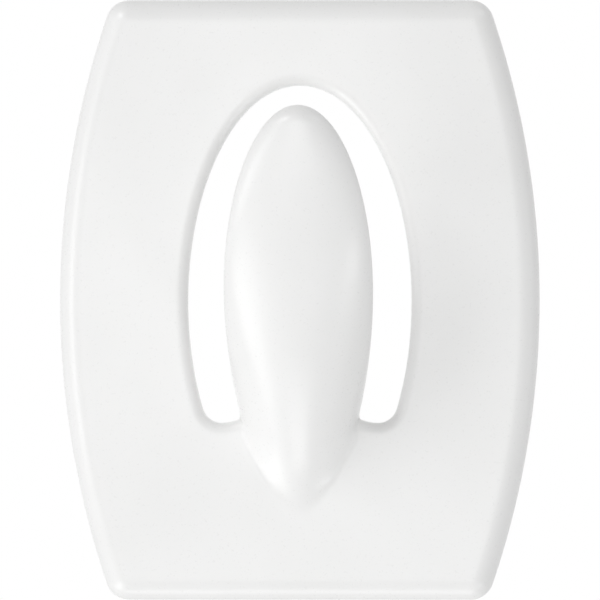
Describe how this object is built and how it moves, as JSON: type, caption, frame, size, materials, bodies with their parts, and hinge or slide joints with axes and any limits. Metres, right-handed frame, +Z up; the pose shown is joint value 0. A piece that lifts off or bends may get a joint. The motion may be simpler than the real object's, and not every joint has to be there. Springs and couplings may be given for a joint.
{
  "type": "adhesive wall hook",
  "caption": "Stick-on wall hook: a barrel-shaped moulded plate with a leaf-shaped tongue standing out of an arched slot, on a foam pad under a peel-off liner.",
  "frame": {"origin": "centre of the wall-side face, on the outside of the release liner, level with the middle of the plate", "axes": "+Z up along the plate's height, +Y into the wall, so the front of the hook faces -Y; +X to the right seen from the front"},
  "size_m": [0.032, 0.0149, 0.04],
  "materials": {
    "moulding": "white, satin gloss",
    "adhesive": "clear acrylic adhesive, tacky",
    "foam": "white closed-cell foam",
    "liner": "unprinted coated paper"
  },
  "bodies": {
    "hook": {"hook_body": "moulding", "hook_side_adhesive": "adhesive", "foam_carrier": "foam", "wall_side_adhesive": "adhesive"},
    "liner": {"release_liner": "liner"}
  },
  "joints": [
    {"name": "liner_peel", "type": "slide", "parent": "hook", "child": "liner", "axis": [0, 1, 0], "range_m": [0, 0.03]}
  ]
}
